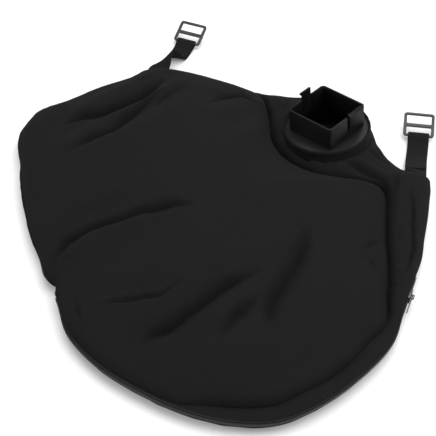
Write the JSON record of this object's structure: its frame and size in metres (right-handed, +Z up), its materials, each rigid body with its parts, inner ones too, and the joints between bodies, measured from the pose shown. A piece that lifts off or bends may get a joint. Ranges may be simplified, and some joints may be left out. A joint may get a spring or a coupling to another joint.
{
  "type": "blower vacuum collection bag",
  "caption": "Black cloth leaf bag with a square snap-in inlet on a round neck, a zip along its front edge and webbing straps that end in slide buckles.",
  "frame": {"origin": "on the floor, on the underside of the bag's bottom panel", "axes": "+Z up, +Y towards the inlet and the straps, +X towards the zip slider's side"},
  "size_m": [0.6847, 0.6782, 0.0928],
  "materials": {
    "top_panel": "woven matt",
    "side_gusset": "woven matt",
    "bottom_panel": "woven matt",
    "inlet_connector": "satin",
    "neck_cuff": "woven matt",
    "hem_band": "woven matt",
    "zip_tape_upper": "satin",
    "zip_coil_upper": "satin",
    "zip_top_stop_upper": "satin",
    "zip_tape_lower": "satin",
    "zip_coil_lower": "satin",
    "zip_top_stop_lower": "satin",
    "zip_bottom_stop": "satin",
    "zip_slider": "satin",
    "zip_pull": "satin",
    "strap_right": "woven matt",
    "buckle_right": "satin",
    "strap_left": "woven matt",
    "buckle_left": "satin"
  },
  "bodies": {
    "bag": {"top_panel": "top_panel", "side_gusset": "side_gusset", "bottom_panel": "bottom_panel", "inlet_connector": "inlet_connector", "neck_cuff": "neck_cuff", "hem_band": "hem_band", "zip_tape_upper": "zip_tape_upper", "zip_coil_upper": "zip_coil_upper", "zip_top_stop_upper": "zip_top_stop_upper", "zip_tape_lower": "zip_tape_lower", "zip_coil_lower": "zip_coil_lower", "zip_top_stop_lower": "zip_top_stop_lower", "zip_bottom_stop": "zip_bottom_stop", "strap_right": "strap_right", "strap_left": "strap_left"},
    "zip_slider": {"zip_slider": "zip_slider"},
    "zip_pull": {"zip_pull": "zip_pull"},
    "buckle_right": {"buckle_right": "buckle_right"},
    "buckle_left": {"buckle_left": "buckle_left"}
  },
  "joints": [
    {"name": "zip_slide", "type": "slide", "parent": "bag", "child": "zip_slider", "axis": [-0.3818, 0.9243, 0], "range_m": [0, 0.02]},
    {"name": "pull_hinge", "type": "hinge", "parent": "zip_slider", "child": "zip_pull", "pos_m": [0.2943, 0.06948, 0.02], "axis": [0, 0, 1], "range_deg": [0, 165]},
    {"name": "buckle_right_hinge", "type": "hinge", "parent": "bag", "child": "buckle_right", "pos_m": [0.10456, 0.33811, 0.0085], "axis": [0.7986, 0.6018, 0], "range_deg": [-12, 70]},
    {"name": "buckle_left_hinge", "type": "hinge", "parent": "bag", "child": "buckle_left", "pos_m": [-0.32232, 0.2451, 0.0085], "axis": [0.9205, 0.3907, 0], "range_deg": [-12, 70]}
  ]
}
